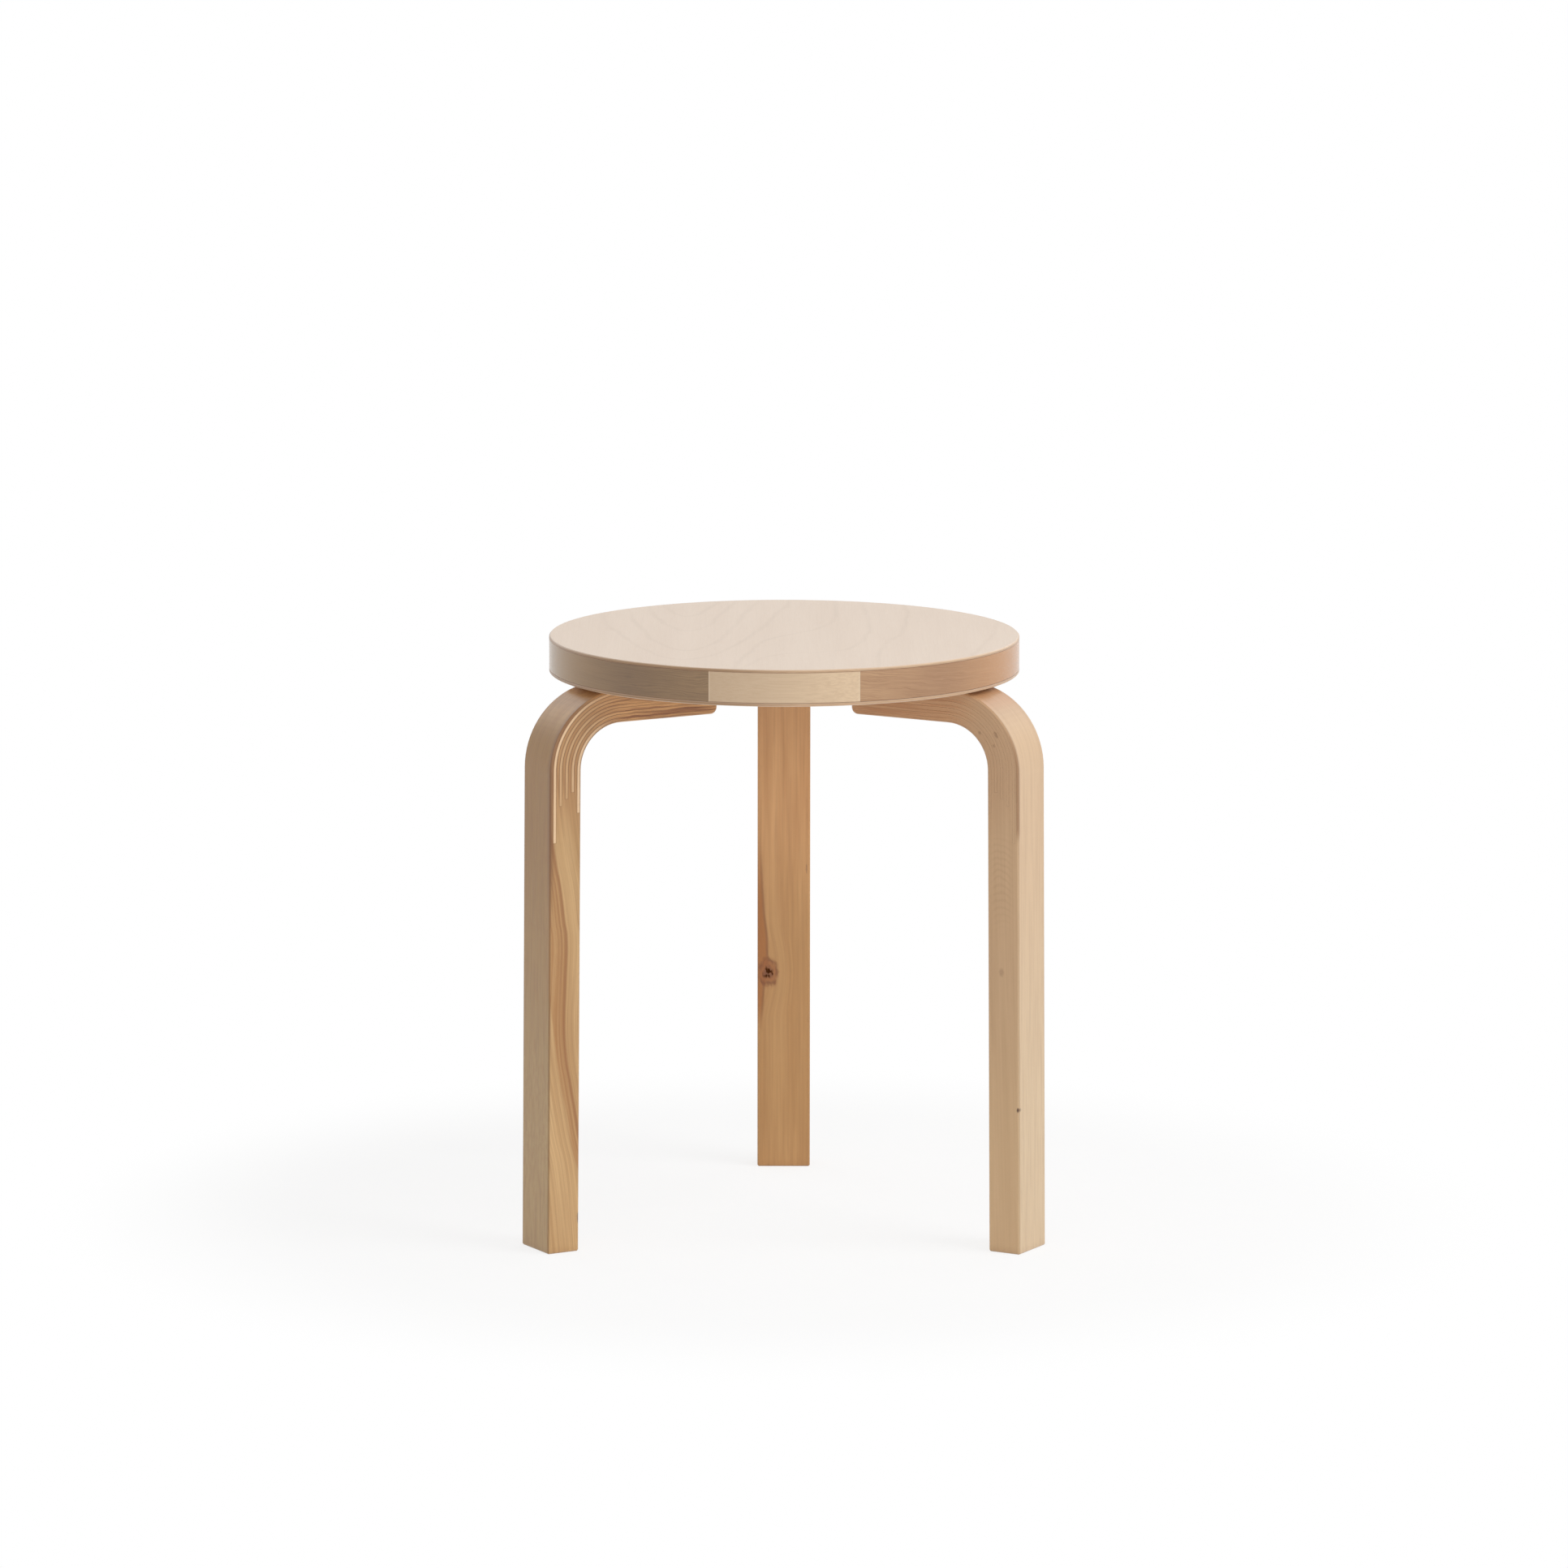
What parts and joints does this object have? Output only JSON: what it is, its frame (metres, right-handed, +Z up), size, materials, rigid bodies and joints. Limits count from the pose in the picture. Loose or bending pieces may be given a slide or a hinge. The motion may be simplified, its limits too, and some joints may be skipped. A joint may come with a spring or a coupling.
{
  "type": "stacking stool",
  "caption": "Round-seated stacking stool on bent birch legs, each a solid post kerfed and laminated at the top and bent into an arm under the seat.",
  "frame": {"origin": "on the floor, midway between the front of the seat and the outer face of the back foot, on the middle plane; the seat's axis stands 18.6 mm in front of it", "axes": "+Z up through the seat, +Y towards the back leg, +X to the right seen from the front"},
  "size_m": [0.3834, 0.3834, 0.44],
  "materials": {
    "seat_skin": "clear satin lacquer on birch veneer",
    "seat_frame": "clear satin lacquer on solid birch",
    "seat_core": "unfinished, sealed inside",
    "leg": "clear satin lacquer on solid birch",
    "leg_veneer": "clear satin lacquer on veneer edges",
    "screw": "zinc plated steel"
  },
  "bodies": {
    "root": {"seat_top_skin": "seat_skin", "seat_bottom_skin": "seat_skin", "seat_rail_left": "seat_frame", "seat_rail_right": "seat_frame", "seat_rail_front": "seat_frame", "seat_rail_back": "seat_frame", "seat_core": "seat_core", "left_leg": "leg", "left_leg_veneer_1": "leg_veneer", "left_leg_veneer_2": "leg_veneer", "left_leg_veneer_3": "leg_veneer", "left_leg_veneer_4": "leg_veneer", "left_leg_veneer_5": "leg_veneer", "left_leg_screws": "screw", "right_leg": "leg", "right_leg_veneer_1": "leg_veneer", "right_leg_veneer_2": "leg_veneer", "right_leg_veneer_3": "leg_veneer", "right_leg_veneer_4": "leg_veneer", "right_leg_veneer_5": "leg_veneer", "right_leg_screws": "screw", "back_leg": "leg", "back_leg_veneer_1": "leg_veneer", "back_leg_veneer_2": "leg_veneer", "back_leg_veneer_3": "leg_veneer", "back_leg_veneer_4": "leg_veneer", "back_leg_veneer_5": "leg_veneer", "back_leg_screws": "screw"}
  },
  "joints": []
}
